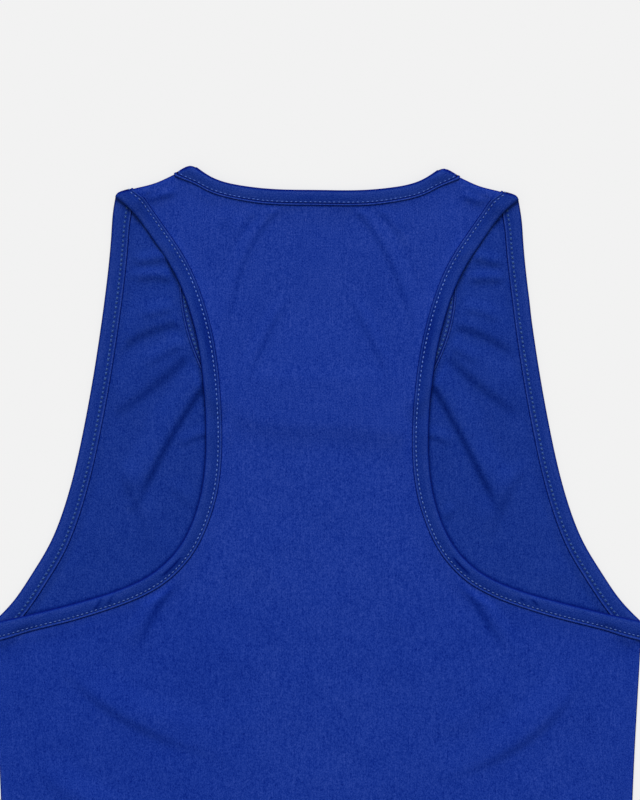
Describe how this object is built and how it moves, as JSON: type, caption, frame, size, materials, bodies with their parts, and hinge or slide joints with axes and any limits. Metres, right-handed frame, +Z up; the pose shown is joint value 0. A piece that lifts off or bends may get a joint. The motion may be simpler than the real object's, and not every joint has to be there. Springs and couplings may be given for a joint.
{
  "type": "boxing shirt",
  "caption": "Sleeveless boxing shirt in plain royal-blue knit with bound neck and deep bound armholes, laid flat with its back up.",
  "frame": {"origin": "on the surface it lies on, under the middle of the garment's outline", "axes": "+X to the right seen from above, +Y towards the neck, +Z up from the surface, out of the garment's back"},
  "size_m": [0.5232, 0.6995, 0.0075],
  "materials": {
    "body_knit": "fine matt polyester knit with a faint sheen",
    "binding_knit": "the same knit, doubled and folded, a little darker",
    "stitching": "polyester sewing thread, a little lighter than the knit"
  },
  "bodies": {
    "root": {"front_panel": "body_knit", "back_panel": "body_knit", "neck_binding": "binding_knit", "left_armhole_binding": "binding_knit", "right_armhole_binding": "binding_knit"}
  },
  "joints": []
}
